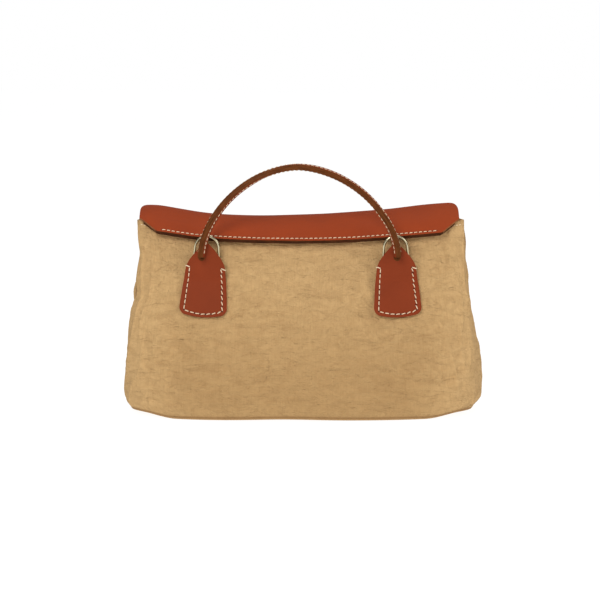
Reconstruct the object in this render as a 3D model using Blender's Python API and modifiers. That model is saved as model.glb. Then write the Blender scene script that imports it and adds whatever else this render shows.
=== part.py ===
"""Soft canvas doctor bag with a saddle-shaped leather flap, two arched strap handles and four D-rings.

Metres, +Z up. The front faces -Y, the width runs along X.
The origin is under the middle of the base.
"""

from math import cos, pi, radians, sin, sqrt, tan

import bmesh
import bpy
from mathutils import Matrix, Vector

MM = 0.001
GAP = 0.3 * MM  # between pieces that touch

# Canvas body
CANVAS = 2.0 * MM  # canvas with its lining
BASE_Z = 3.1 * MM  # lower rim of the walls, above the base panel
BASE_THICK = 2.5 * MM
BASE_INSET = 1 * MM
BOARD_INSET = 7 * MM
MOUTH_HALF_DEPTH = 20 * MM
SPREAD = 58 * MM  # how much deeper each side is at the base than at the mouth
SPREAD_POWER = 1.12
MOUTH_MID_Z = 190 * MM  # the mouth's rim sags in the middle
MOUTH_END_Z = 205 * MM
MOUTH_HALF_WIDTH = 174 * MM
CORNER_POWER_BASE = 2.7  # squareness of the walls' plan at the base and at the mouth
CORNER_POWER_TOP = 5.0
WALL_HALF_WIDTH = ((0.0, 172 * MM), (0.22, 184 * MM), (0.55, 178.5 * MM), (1.0, 174 * MM))
SEAM_DEPTH_BASE = 30 * MM
SEAM_DEPTH_TOP = 17.5 * MM
GUSSET_BULGE = ((0.0, 6 * MM), (0.22, 6 * MM), (0.5, -1 * MM), (1.0, -24 * MM))
GUSSET_TOP_Z = 202 * MM
GUSSET_CLEARANCE_BASE = 0.8 * MM  # between a gusset's edge and the wall's inner face
GUSSET_CLEARANCE_TOP = 3.0 * MM
HEM_HEIGHT = 15 * MM
HEM_HALF_WIDTH = 160 * MM
HEM_DROP = 1 * MM  # of the hem's upper edge below the mouth's rim
HEM_THICK = 2.0 * MM

# Flap: its section from the hinge line over the crest to the front edge, as y, z at mid width
LEATHER = 2.0 * MM
FLAP_SECTION = (
    (26.2 * MM, 198.2 * MM),
    (25.6 * MM, 201.8 * MM),
    (22.0 * MM, 204.9 * MM),
    (14.0 * MM, 205.8 * MM),
    (2.0 * MM, 204.8 * MM),
    (-10.0 * MM, 201.6 * MM),
    (-22.0 * MM, 195.3 * MM),
    (-36.0 * MM, 183.8 * MM),
)
CREST_STEP = 3 / 7  # where the crest lies along the section
FLAP_END_X = 150 * MM
CREST_RISE = 12.5 * MM  # the crest's rise from the middle to FLAP_END_X
FRONT_RISE = 8.0 * MM
FLAP_HALF_WIDTH = 170.4 * MM
FLAP_BACK_HALF_WIDTH = 150 * MM
FLAP_FRONT_HALF_WIDTH = 151.5 * MM
FLAP_CORNER_R = 11 * MM
FLAP_CHAMFER = 0.765  # share of the section where the front corners start to slant in
CREST_TO_EDGE = 45 * MM  # along the leather
LINING_START = 0.87  # shares of the section that the stiffening strip spans
LINING_END = 0.995
LINING_HALF_WIDTH = 148 * MM
HINGE_Y = 26.4 * MM
HINGE_Z = 198.0 * MM
LEAF_Y = 24.6 * MM  # outer face of the back leaf at the hinge
LEAF_LEAN = 0.28
LEAF_HEIGHT = 17 * MM
MAGNET_R = 4.5 * MM
MAGNET_THICK = 1.5 * MM
MAGNET_X = 55 * MM
MAGNET_POCKET_R = 4.9 * MM
MAGNET_SEAT = 0.933  # share of the section under which the flap's magnets lie

# Handle fittings. Each set is modelled at its keyhole, outward along -Y, and placed on the wall
PADDLE_X = 98.8 * MM
KEYHOLE_Z = 168.7 * MM
FITTING_DROP = 3.4 * MM  # the wall leans, so what stands off it at the keyhole is this much higher
PADDLE_TILTS = {"front_left": 3.4, "front_right": -2.0, "back_left": 3.0, "back_right": -3.0}
# How far each keyhole lies to the side of its paddle's middle line, in the set's own X
KEYHOLE_SHIFTS = {
    "front_left": -4.4 * MM,
    "front_right": 1.2 * MM,
    "back_left": 2.5 * MM,
    "back_right": -2.5 * MM,
}
PADDLE_THICK = 3.0 * MM
PADDLE_APEX = 11.5 * MM  # all heights are from the keyhole
PADDLE_SHOULDER = -13.1 * MM
PADDLE_FOOT = -60.0 * MM
PADDLE_FOOT_SAG = 4.0 * MM
SHOULDER_HALF = 20.5 * MM
FOOT_HALF = 25.2 * MM
FOOT_CORNER_R = 6 * MM
APEX_HALF = 1.5 * MM
PADDLE_POINT_POWER = 1.55  # fullness of the pointed top
PADDLE_LIFT = 7.3 * MM  # the paddle's back face off the canvas at the ring's bar
PADDLE_FLAT = -27 * MM  # below this the paddle lies on the canvas
PADDLE_REST = 0.9 * MM
FOOT_SAG_HEIGHT = 30 * MM  # height over which the foot's curve fades out
RING_LEAN = 21.5  # degrees outward from the wall
RING_WIRE_R = 1.4 * MM
RING_BAR = -11.0 * MM
RING_BAR_OUT = 3.9 * MM
RING_TOP_R = 12.2 * MM
RING_FOOT_HALF = 13.4 * MM
RING_HEIGHT = 33.0 * MM
CHAPE_HALF_WIDTH = 9.5 * MM
CHAPE_WALL = 1.3 * MM
CHAPE_TAIL = 7 * MM
KEYHOLE_W = 8.0 * MM
KEYHOLE_H = 8.4 * MM
TAIL_W = 6.6 * MM
TAIL_H = 6.6 * MM
TAIL_PROUD = 0.2 * MM  # the handle's end stands this far out of the keyhole
TAIL_BURIED = 1.5 * MM
TAIL_EDGE_R = 0.5 * MM
PATCH_THICK = 1.5 * MM
PATCH_HALF_WIDTH = 17 * MM
PATCH_HALF_HEIGHT = 22 * MM
PATCH_CORNER_R = 5 * MM
PATCH_DROP = 33 * MM
PATCH_CLEARANCE = 1.2 * MM

# Handles
HANDLE_HALF_SPAN = 101.6 * MM
HANDLE_HEIGHT = 95.4 * MM
HANDLE_POWER = 1.8
HANDLE_SHIFTS = {"front": -1.6 * MM, "back": 0.0}  # of the arch along X
STRAP_DEPTH = 9.5 * MM
STRAP_THICK = 3.4 * MM  # each of the two strips of a handle
HANDLE_OUT = 50.4 * MM  # pivot line's distance from the bag's middle plane
HANDLE_HANG = 168.0  # degrees the back handle has swung down from upright


def srgb(red, green, blue):
    """Linear colour of 0-255 screen values."""
    return tuple((c / 255) ** 2.2 for c in (red, green, blue)) + (1.0,)


LOOKS = {
    "canvas": (srgb(188, 151, 103), 0.9, 0.0),
    "flap_leather": (srgb(150, 67, 40), 0.5, 0.0),
    "leather": (srgb(137, 62, 38), 0.5, 0.0),
    "edge_leather": (srgb(95, 53, 27), 0.55, 0.0),
    "ring_metal": (srgb(226, 212, 168), 0.18, 1.0),
    "magnet_steel": (srgb(170, 170, 168), 0.35, 1.0),
    "board": (srgb(70, 60, 52), 0.8, 0.0),
}


def clear_scene():
    for obj in list(bpy.data.objects):
        bpy.data.objects.remove(obj, do_unlink=True)


def new_collection(name):
    collection = bpy.data.collections.new(name)
    bpy.context.scene.collection.children.link(collection)
    return collection


def make_materials():
    made = {}
    for name, (colour, roughness, metallic) in LOOKS.items():
        material = bpy.data.materials.new(name)
        material.use_nodes = True
        shader = material.node_tree.nodes["Principled BSDF"]
        shader.inputs["Base Color"].default_value = colour
        shader.inputs["Roughness"].default_value = roughness
        shader.inputs["Metallic"].default_value = metallic
        made[name] = material
    return made


def smooth_value(points, t):
    """Value at t of a smooth curve through (t, value) points."""
    last = len(points) - 1
    i = max(k for k in range(last) if t >= points[k][0] or k == 0)
    t0, v0 = points[i]
    t1, v1 = points[i + 1]
    before = points[max(i - 1, 0)]
    after = points[min(i + 2, last)]
    slope0 = (v1 - before[1]) / (t1 - before[0])
    slope1 = (after[1] - v0) / (after[0] - t0)
    span = t1 - t0
    s = (t - t0) / span
    h00 = 2 * s**3 - 3 * s**2 + 1
    h10 = s**3 - 2 * s**2 + s
    h01 = -2 * s**3 + 3 * s**2
    h11 = s**3 - s**2
    return h00 * v0 + h10 * span * slope0 + h01 * v1 + h11 * span * slope1


def smoothstep(low, high, value):
    s = min(max((value - low) / (high - low), 0.0), 1.0)
    return s * s * (3 - 2 * s)


def add_object(name, data, looks, collection):
    obj = bpy.data.objects.new(name, data)
    if looks:
        data.materials.append(looks)
    collection.objects.link(obj)
    return obj


def grid_sheet(name, point, rows, columns, thickness, looks, collection):
    """A sheet over point(u, v), u to the right and v up as seen from outside, thickened inward."""
    mesh = bmesh.new()
    grid = [[mesh.verts.new(point(u, v)) for u in columns] for v in rows]
    for low, high in zip(grid, grid[1:]):
        for i in range(len(columns) - 1):
            mesh.faces.new((low[i], low[i + 1], high[i + 1], high[i]))
    data = bpy.data.meshes.new(name)
    mesh.to_mesh(data)
    mesh.free()
    obj = add_object(name, data, looks, collection)
    solid = obj.modifiers.new("thickness", "SOLIDIFY")
    solid.thickness = thickness
    solid.offset = -1
    data.shade_smooth()
    return obj


def even(low, high, count):
    return [low + (high - low) * i / (count - 1) for i in range(count)]


def outline_plate(name, outlines, half_thickness, looks, collection):
    """A flat plate from closed outlines in its own XY plane, later ones being holes."""
    curve = bpy.data.curves.new(name, "CURVE")
    curve.dimensions = "2D"
    curve.fill_mode = "BOTH"
    curve.extrude = half_thickness
    for outline in outlines:
        spline = curve.splines.new("POLY")
        spline.points.add(len(outline) - 1)
        for target, (x, y) in zip(spline.points, outline):
            target.co = (x, y, 0, 1)
        spline.use_cyclic_u = True
    return add_object(name, curve, looks, collection)


def circle(radius, centre=(0.0, 0.0), count=24):
    turns = [2 * pi * i / count for i in range(count)]
    return [(centre[0] + radius * cos(a), centre[1] + radius * sin(a)) for a in turns]


def mouth_z(x):
    return MOUTH_MID_Z + (MOUTH_END_Z - MOUTH_MID_Z) * (x / MOUTH_HALF_WIDTH) ** 2


def half_depth(v):
    return MOUTH_HALF_DEPTH + SPREAD * (1 - v**SPREAD_POWER)


def wall_point(x_share, v):
    """Outer face of the front wall: x_share from -1 to 1 across, v from 0 to 1 up to the mouth."""
    half_width = smooth_value(WALL_HALF_WIDTH, v)
    seam = SEAM_DEPTH_BASE + (SEAM_DEPTH_TOP - SEAM_DEPTH_BASE) * v
    power = CORNER_POWER_BASE + (CORNER_POWER_TOP - CORNER_POWER_BASE) * v
    bow = max(1 - abs(x_share) ** power, 0.0) ** (1 / power)
    x = half_width * x_share
    y = -(seam + (half_depth(v) - seam) * bow)
    return Vector((x, y, BASE_Z + (mouth_z(x) - BASE_Z) * v))


def wall_frame(x, z):
    """Placement on the front wall: local -Y points out of the wall and local Z up along it."""
    v = (z - BASE_Z) / (mouth_z(x) - BASE_Z)
    share = x / smooth_value(WALL_HALF_WIDTH, v)
    width_step = 0.12
    height_step = 0.3
    centre = wall_point(share, v)
    across = wall_point(share + width_step, v) - wall_point(share - width_step, v)
    across.z = 0
    across.normalize()
    up = wall_point(share, v) - wall_point(share, v - height_step)
    up = (up - across * up.dot(across)).normalized()
    inward = up.cross(across)
    frame = Matrix((across, inward, up)).transposed().to_4x4()
    frame.translation = centre
    return frame


def hem_point(x, height):
    """Inner face of the front wall's canvas, at a distance below the mouth's rim."""
    v = (mouth_z(x) - height - BASE_Z) / (mouth_z(x) - BASE_Z)
    share = x / smooth_value(WALL_HALF_WIDTH, v)
    outer = wall_point(share, v)
    return outer + Vector((0, CANVAS + 1.5 * GAP, 0))


def gusset_point(u, v):
    """Outer face of the right gusset: u runs from the front seam to the back seam."""
    seam = SEAM_DEPTH_BASE + (SEAM_DEPTH_TOP - SEAM_DEPTH_BASE) * v
    clearance = GUSSET_CLEARANCE_BASE + (GUSSET_CLEARANCE_TOP - GUSSET_CLEARANCE_BASE) * v
    x = smooth_value(WALL_HALF_WIDTH, v) + smooth_value(GUSSET_BULGE, v) * (1 - u * u)
    return Vector((x, u * (seam - clearance), BASE_Z + (GUSSET_TOP_Z - BASE_Z) * v))


def base_outline(shares, spans, inset):
    """Outline of the walls' lower rim, drawn in by a distance."""
    front = [wall_point(share, 0) for share in shares]
    right = [gusset_point(u, 0) for u in spans]
    rim = front + right
    rim += [flip_to_back(point) for point in rim]
    outline = []
    for point in rim:
        flat = Vector((point.x, point.y))
        outline.append(flat - flat.normalized() * inset)
    return [(p.x, p.y) for p in outline]


def flip_to_back(point):
    return Vector((-point.x, -point.y, point.z))


def turned(point):
    """The same surface for the opposite side of the bag."""
    return lambda u, v: flip_to_back(point(u, v))


def make_body(looks, bag):
    across = [sin(a) for a in even(-pi / 2, pi / 2, 25)]
    shares = [abs(s) ** 0.6 * (1 if s >= 0 else -1) for s in across]
    rows = even(0, 1, 11)
    canvas = looks["canvas"]
    grid_sheet("front_panel", wall_point, rows, shares, CANVAS, canvas, bag)
    grid_sheet("back_panel", turned(wall_point), rows, shares, CANVAS, canvas, bag)

    spans = even(-1, 1, 11)
    grid_sheet("right_gusset", gusset_point, rows, spans, CANVAS, canvas, bag)
    grid_sheet("left_gusset", turned(gusset_point), rows, spans, CANVAS, canvas, bag)

    outline = base_outline(shares, spans, BASE_INSET)
    base = outline_plate("base_panel", [outline], BASE_THICK / 2, canvas, bag)
    base.location.z = BASE_THICK / 2
    inner = base_outline(shares, spans, BOARD_INSET)
    board = outline_plate("base_board", [inner], BASE_THICK / 2, looks["board"], bag)
    board.location.z = BASE_THICK * 1.5 + GAP

    columns = even(-HEM_HALF_WIDTH, HEM_HALF_WIDTH, 17)
    heights = even(HEM_HEIGHT, HEM_DROP, 3)
    grid_sheet("back_hem", turned(hem_point), heights, columns, HEM_THICK, canvas, bag)
    return grid_sheet("front_hem", hem_point, heights, columns, HEM_THICK, canvas, bag)


def flap_section(v):
    """Smooth y, z along the flap's section, v from 0 at the hinge to 1 at the front edge."""
    last = len(FLAP_SECTION) - 1
    marks = [i / last for i in range(last + 1)]
    y = smooth_value([(m, p[0]) for m, p in zip(marks, FLAP_SECTION)], v)
    z = smooth_value([(m, p[1]) for m, p in zip(marks, FLAP_SECTION)], v)
    return y, z


def flap_point(x, v):
    """Outer face of the flap: a saddle, its ends higher than its middle."""
    y, z = flap_section(v)
    if v <= CREST_STEP:
        rise = CREST_RISE * smoothstep(0, CREST_STEP, v)
    else:
        share = (v - CREST_STEP) / (1 - CREST_STEP)
        rise = CREST_RISE + (FRONT_RISE - CREST_RISE) * share
    return Vector((x, y, z + rise * (x / FLAP_END_X) ** 2))


def flap_outline():
    """Rows of v and half width: narrow over the hinge, rounded corners at the crest, chamfered front."""
    rows = [(v, FLAP_BACK_HALF_WIDTH) for v in even(0, CREST_STEP, 6)]
    past_crest = 0.012
    for turn in even(0, pi / 2, 6):
        run = FLAP_CORNER_R * (1 - cos(turn))
        half = FLAP_HALF_WIDTH - FLAP_CORNER_R * (1 - sin(turn))
        rows.append((CREST_STEP + past_crest + (1 - CREST_STEP) * run / CREST_TO_EDGE, half))
    for share in even(0, 1, 5):
        half = FLAP_HALF_WIDTH + (FLAP_FRONT_HALF_WIDTH - FLAP_HALF_WIDTH) * share
        rows.append((FLAP_CHAMFER + (1 - FLAP_CHAMFER) * share, half))
    return rows


def make_flap(looks, bag, cutters, front_hem):
    rows = flap_outline()
    halves = dict(rows)
    columns = even(-1, 1, 21)
    panel = grid_sheet(
        "flap_panel",
        lambda u, v: flap_point(-u * halves[v], v),
        [v for v, _ in rows],
        columns,
        LEATHER,
        looks["flap_leather"],
        bag,
    )

    lining = grid_sheet(
        "flap_lining",
        lambda u, v: flap_point(-u * LINING_HALF_WIDTH, v) + under_flap(v, LEATHER + GAP),
        even(LINING_START, LINING_END, 3),
        columns,
        LEATHER,
        looks["leather"],
        bag,
    )

    def leaf_point(u, height):
        y = LEAF_Y + LEAF_LEAN * height
        return Vector((-u * FLAP_BACK_HALF_WIDTH, y, HINGE_Z - GAP - height))

    drops = even(LEAF_HEIGHT, 0, 3)
    grid_sheet("flap_back_leaf", leaf_point, drops, columns, LEATHER, looks["flap_leather"], bag)

    turning = [panel, lining]
    for hand, x in (("left", -MAGNET_X), ("right", MAGNET_X)):
        centre = flap_point(x, MAGNET_SEAT)
        across = (flap_point(x + MM, MAGNET_SEAT) - flap_point(x - MM, MAGNET_SEAT)).normalized()
        down = (flap_point(x, MAGNET_SEAT + 0.02) - flap_point(x, MAGNET_SEAT - 0.02)).normalized()
        normal = down.cross(across).normalized()
        middle = centre - normal * (LEATHER + GAP + LEATHER / 2)
        magnet = disc("flap_magnet_" + hand, MAGNET_R, MAGNET_THICK, middle, normal)
        turning.append(add_object(magnet.name, magnet, looks["magnet_steel"], bag))
        cut_disc(lining, middle, normal, cutters)
        on_hem = hem_point(x, HEM_HEIGHT / 2)
        up = (hem_point(x, HEM_HEIGHT / 4) - hem_point(x, HEM_HEIGHT * 3 / 4)).normalized()
        facing = Vector((1, 0, 0)).cross(up).normalized()
        middle = on_hem - facing * (HEM_THICK / 2)
        magnet = disc("hem_magnet_" + hand, MAGNET_R, MAGNET_THICK, middle, facing)
        add_object(magnet.name, magnet, looks["magnet_steel"], bag)
        cut_disc(front_hem, middle, facing, cutters)
    hang_on_hinge(turning, bag)


def hang_on_hinge(pieces, bag):
    """Parents the flap's pieces to an empty on its hinge line, so that turning the empty opens it."""
    hinge = bpy.data.objects.new("flap_hinge", None)
    bag.objects.link(hinge)
    hinge.location = (0, HINGE_Y, HINGE_Z)
    for piece in pieces:
        piece.parent = hinge
        piece.matrix_parent_inverse = Matrix.Translation((0, -HINGE_Y, -HINGE_Z))


def under_flap(v, depth):
    """Offset from the flap's outer face to a layer below it."""
    y0, z0 = flap_section(max(v - 0.01, 0))
    y1, z1 = flap_section(min(v + 0.01, 1))
    along = Vector((0, y1 - y0, z1 - z0)).normalized()
    outward = Vector((0, along.z, -along.y))
    return -depth * outward


def disc(name, radius, thickness, middle, normal):
    """A mesh disc centred at a point, with its axis along a direction."""
    mesh = bmesh.new()
    bmesh.ops.create_cone(
        mesh, cap_ends=True, segments=24, radius1=radius, radius2=radius, depth=thickness
    )
    turn = Vector((0, 0, 1)).rotation_difference(normal).to_matrix().to_4x4()
    mesh.transform(Matrix.Translation(middle) @ turn)
    data = bpy.data.meshes.new(name)
    mesh.to_mesh(data)
    mesh.free()
    data.set_sharp_from_angle(angle=radians(40))
    return data


def cutter_object(name, data, cutters):
    cutter = add_object(name, data, None, cutters)
    cutter.hide_render = True
    cutter.display_type = "WIRE"
    return cutter


def cut(target, cutter):
    target.modifiers.new("flat_facets", "TRIANGULATE")
    modifier = target.modifiers.new("cut", "BOOLEAN")
    modifier.operation = "DIFFERENCE"
    modifier.solver = "EXACT"
    modifier.object = cutter


def cut_disc(target, middle, normal, cutters):
    data = disc("magnet_pocket", MAGNET_POCKET_R, 4 * LEATHER, middle, normal)
    cut(target, cutter_object("magnet_pocket", data, cutters))


def paddle_half_width(height):
    """Half width of a paddle: a pointed top, straight sides that widen, rounded foot corners."""
    if height > PADDLE_SHOULDER:
        share = (height - PADDLE_SHOULDER) / (PADDLE_APEX - PADDLE_SHOULDER)
        return APEX_HALF + (SHOULDER_HALF - APEX_HALF) * (1 - share**PADDLE_POINT_POWER)
    share = (PADDLE_SHOULDER - height) / (PADDLE_SHOULDER - PADDLE_FOOT)
    half = SHOULDER_HALF + (FOOT_HALF - SHOULDER_HALF) * share
    from_foot = height - PADDLE_FOOT
    if from_foot < FOOT_CORNER_R:
        lack = FOOT_CORNER_R - from_foot
        half -= FOOT_CORNER_R - sqrt(max(FOOT_CORNER_R**2 - lack**2, 0.0))
    return half


def paddle_lift(height):
    """Distance of the paddle's back face from the canvas: flat below, pushed out by the ring above."""
    flare = max(height - RING_BAR, 0.0) * tan(radians(RING_LEAN))
    return PADDLE_REST + (PADDLE_LIFT - PADDLE_REST) * smoothstep(PADDLE_FLAT, RING_BAR, height) + flare


def paddle_point(u, height):
    near_foot = max(0.0, 1 - (height - PADDLE_FOOT) / FOOT_SAG_HEIGHT)
    sag = PADDLE_FOOT_SAG * (1 - u * u) * near_foot**2
    out = paddle_lift(height) + PADDLE_THICK
    return Vector((u * paddle_half_width(height), -out, height - sag))


def ring_outline():
    """Centre line of a D-ring in its own XY plane, its straight bar through the origin."""
    top = RING_HEIGHT - RING_TOP_R
    points = [(-RING_FOOT_HALF + 2 * MM, 0), (RING_FOOT_HALF - 2 * MM, 0)]
    points.append((RING_FOOT_HALF - 0.5 * MM, 0.6 * MM))
    points.append((RING_FOOT_HALF, 2.5 * MM))
    points.append((RING_TOP_R + 0.75 * MM, top * 0.6))
    points += [(RING_TOP_R * cos(a), top + RING_TOP_R * sin(a)) for a in even(0, pi, 17)]
    points.append((-RING_TOP_R - 0.75 * MM, top * 0.6))
    points.append((-RING_FOOT_HALF, 2.5 * MM))
    points.append((-RING_FOOT_HALF + 0.5 * MM, 0.6 * MM))
    return points


def make_ring(name, place, looks, bag):
    curve = bpy.data.curves.new(name, "CURVE")
    curve.dimensions = "3D"
    curve.bevel_depth = RING_WIRE_R
    curve.bevel_resolution = 2
    spline = curve.splines.new("POLY")
    outline = ring_outline()
    spline.points.add(len(outline) - 1)
    for target, (x, y) in zip(spline.points, outline):
        target.co = (x, y, 0, 1)
    spline.use_cyclic_u = True
    spline.use_smooth = True
    ring = add_object(name, curve, looks, bag)
    ring.matrix_world = place
    return ring


def chape_outline():
    """Side view of the folded leather strip round the ring's bar, with the tail under the paddle."""
    inner = RING_WIRE_R + GAP
    outer = inner + CHAPE_WALL
    tail_face = -outer + 2 * CHAPE_WALL
    loop = [(outer * cos(a), outer * sin(a)) for a in even(-pi / 3, pi, 17)]
    return loop + [(-outer, -CHAPE_TAIL), (tail_face, -CHAPE_TAIL), (tail_face, -outer)]


def rounded_rectangle(half_x, half_y, radius, count=5):
    points = []
    for corner, (sx, sy) in enumerate(((1, 1), (-1, 1), (-1, -1), (1, -1))):
        for i in range(count):
            angle = pi / 2 * (corner + i / (count - 1))
            x = sx * (half_x - radius) + radius * cos(angle)
            y = sy * (half_y - radius) + radius * sin(angle)
            points.append((x, y))
    return points


def make_fittings(looks, bag, cutters):
    """The four sets of paddle, strap tail, chape, D-ring and inner patch."""
    for name, tilt in PADDLE_TILTS.items():
        side, hand = name.split("_")
        x = -PADDLE_X if hand == "left" else PADDLE_X
        if side == "back":
            x = -x
        frame = wall_frame(x, KEYHOLE_Z - FITTING_DROP) @ Matrix.Rotation(radians(tilt), 4, "Y")
        if side == "back":
            frame = Matrix.Rotation(pi, 4, "Z") @ frame

        heights = [PADDLE_FOOT + FOOT_CORNER_R * (1 - cos(a)) for a in even(0, pi / 2, 5)]
        heights += even(-45 * MM, PADDLE_FLAT, 3) + even(-22 * MM, PADDLE_SHOULDER, 4)
        heights += even(-7 * MM, PADDLE_APEX, 6)
        paddle = grid_sheet(
            name + "_paddle", paddle_point, heights, even(-1, 1, 9), PADDLE_THICK, looks["leather"], bag
        )
        paddle.matrix_world = frame
        hole_data = box_mesh(name + "_keyhole", KEYHOLE_W, 4 * PADDLE_LIFT, KEYHOLE_H)
        hole = cutter_object(name + "_keyhole", hole_data, cutters)
        shift = KEYHOLE_SHIFTS[name]
        hole.matrix_world = frame @ Matrix.Translation((shift, -paddle_lift(0), 0))
        cut(paddle, hole)

        back = TAIL_BURIED - paddle_lift(0)
        front = -(paddle_lift(0) + PADDLE_THICK) - TAIL_PROUD
        tail_data = box_mesh(name + "_strap_tail", TAIL_W, back - front, TAIL_H)
        tail = add_object(name + "_strap_tail", tail_data, looks["edge_leather"], bag)
        tail.matrix_world = frame @ Matrix.Translation((shift, (back + front) / 2, 0))
        soften(tail, TAIL_EDGE_R)

        bar = frame @ Matrix.Translation((0, -RING_BAR_OUT, RING_BAR))
        lean = Matrix.Rotation(pi / 2 + radians(RING_LEAN), 4, "X")
        make_ring(name + "_ring", bar @ lean, looks["ring_metal"], bag)

        hole_outline = circle(RING_WIRE_R + GAP)
        chape = outline_plate(
            name + "_chape", [chape_outline(), hole_outline], CHAPE_HALF_WIDTH, looks["leather"], bag
        )
        sideways = Matrix(((0, 0, -1, 0), (-1, 0, 0, 0), (0, 1, 0, 0), (0, 0, 0, 1)))
        chape.matrix_world = bar @ sideways

        outline = rounded_rectangle(PATCH_HALF_WIDTH, PATCH_HALF_HEIGHT, PATCH_CORNER_R)
        patch = outline_plate(name + "_patch", [outline], PATCH_THICK / 2, looks["leather"], bag)
        depth = CANVAS + PATCH_CLEARANCE + PATCH_THICK / 2
        behind = Matrix.Translation((0, depth, -PATCH_DROP))
        patch.matrix_world = frame @ behind @ Matrix.Rotation(pi / 2, 4, "X")


def box_mesh(name, width, depth, height):
    mesh = bmesh.new()
    bmesh.ops.create_cube(mesh, size=1)
    mesh.transform(Matrix.Diagonal((width, depth, height, 1)))
    data = bpy.data.meshes.new(name)
    mesh.to_mesh(data)
    mesh.free()
    return data


def soften(obj, width):
    bevel = obj.modifiers.new("soft_edges", "BEVEL")
    bevel.width = width
    bevel.segments = 2


def handle_centre_line(count=31):
    """Points and outward normals of the arch, in X and Z from the pivot line."""
    points = []
    for angle in even(0, pi, count):
        c, s = cos(angle), sin(angle)
        x = HANDLE_HALF_SPAN * abs(c) ** (2 / HANDLE_POWER) * (1 if c >= 0 else -1)
        points.append(Vector((x, HANDLE_HEIGHT * abs(s) ** (2 / HANDLE_POWER))))
    lined = []
    for i, point in enumerate(points):
        ahead = points[min(i + 1, count - 1)]
        behind = points[max(i - 1, 0)]
        along = (ahead - behind).normalized()
        lined.append((point, Vector((along.y, -along.x))))
    return lined


def strap_outline(low, high):
    """Closed outline of one strip of a handle, between two distances from the centre line."""
    line = handle_centre_line()
    outer = [p + n * high for p, n in line]
    inner = [p + n * low for p, n in line]
    for edge in (outer, inner):
        edge[0].y = 0.0
        edge[-1].y = 0.0
    return [(p.x, p.y) for p in outer + inner[::-1]]


def make_handles(looks, bag):
    layers = {"outer": (GAP / 2, STRAP_THICK + GAP / 2), "inner": (-STRAP_THICK - GAP / 2, -GAP / 2)}
    for side in ("front", "back"):
        out = -HANDLE_OUT if side == "front" else HANDLE_OUT
        pivot = bpy.data.objects.new(side + "_handle_pivot", None)
        bag.objects.link(pivot)
        pivot.location = (HANDLE_SHIFTS[side], out, KEYHOLE_Z)
        if side == "back":
            pivot.rotation_euler.x = -radians(HANDLE_HANG)
        for layer, (low, high) in layers.items():
            strap = outline_plate(
                side + "_handle_" + layer + "_strip",
                [strap_outline(low, high)],
                STRAP_DEPTH / 2,
                looks["leather"],
                bag,
            )
            strap.parent = pivot
            strap.rotation_euler.x = pi / 2


def main():
    clear_scene()
    bag = new_collection("doctor_bag")
    cutters = new_collection("cutters")
    looks = make_materials()
    front_hem = make_body(looks, bag)
    make_flap(looks, bag, cutters, front_hem)
    make_fittings(looks, bag, cutters)
    make_handles(looks, bag)


main()
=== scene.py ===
"""Looks of a soft canvas doctor bag with a saddle-shaped leather flap, strap handles and D-rings.

Metres, +Z up, the front faces -Y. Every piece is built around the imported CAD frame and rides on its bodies.
"""

from math import cos, exp, hypot, pi, radians, sin, sqrt, tan

import bpy
from mathutils import Matrix, Vector, noise


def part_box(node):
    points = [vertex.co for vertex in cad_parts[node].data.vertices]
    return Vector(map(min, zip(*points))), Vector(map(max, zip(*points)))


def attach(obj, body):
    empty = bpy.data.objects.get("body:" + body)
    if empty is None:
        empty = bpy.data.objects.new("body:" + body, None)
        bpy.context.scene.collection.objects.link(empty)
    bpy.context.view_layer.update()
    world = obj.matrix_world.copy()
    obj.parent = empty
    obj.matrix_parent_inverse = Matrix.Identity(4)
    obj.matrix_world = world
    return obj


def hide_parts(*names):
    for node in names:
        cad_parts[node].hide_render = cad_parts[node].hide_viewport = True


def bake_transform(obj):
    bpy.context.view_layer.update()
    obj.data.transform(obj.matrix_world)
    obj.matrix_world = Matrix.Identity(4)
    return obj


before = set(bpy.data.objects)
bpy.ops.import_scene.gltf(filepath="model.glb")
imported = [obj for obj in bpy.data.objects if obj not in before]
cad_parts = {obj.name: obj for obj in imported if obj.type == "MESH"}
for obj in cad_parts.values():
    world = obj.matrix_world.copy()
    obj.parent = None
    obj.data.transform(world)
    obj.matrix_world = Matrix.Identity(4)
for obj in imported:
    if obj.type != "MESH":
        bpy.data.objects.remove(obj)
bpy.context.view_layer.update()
MM = 0.001


# ---------------------------------------------------------------- small tools
def even(low, high, count):
    return [low + (high - low) * i / (count - 1) for i in range(count)]


def lerp(a, b, share):
    return a + (b - a) * share


def smoothstep(low, high, value):
    s = min(max((value - low) / (high - low), 0.0), 1.0)
    return s * s * (3 - 2 * s)


def bump_at(value, centre, width):
    return exp(-(((value - centre) / width) ** 2))


def smooth_value(points, t):
    """Value at t of a smooth curve through (t, value) points."""
    last = len(points) - 1
    i = max(k for k in range(last) if t >= points[k][0] or k == 0)
    t0, v0 = points[i]
    t1, v1 = points[i + 1]
    before = points[max(i - 1, 0)]
    after = points[min(i + 2, last)]
    slope0 = (v1 - before[1]) / (t1 - before[0])
    slope1 = (after[1] - v0) / (after[0] - t0)
    span = t1 - t0
    s = (t - t0) / span
    eased = s * s * (3 - 2 * s)
    return lerp(v0, v1, eased) + span * s * (1 - s) * ((1 - s) * slope0 - s * slope1)


def add_mesh(name, points, faces, uvs=None, smooth=True):
    """A mesh object; uvs are one (u, v) in metres for each point."""
    mesh = bpy.data.meshes.new(name)
    mesh.from_pydata([tuple(p) for p in points], [], faces)
    if uvs:
        layer = mesh.uv_layers.new(name="UVMap")
        for loop in mesh.loops:
            layer.data[loop.index].uv = uvs[loop.vertex_index]
    if smooth:
        mesh.shade_smooth()
    mesh.update()
    obj = bpy.data.objects.new(name, mesh)
    bpy.context.scene.collection.objects.link(obj)
    return obj


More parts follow.
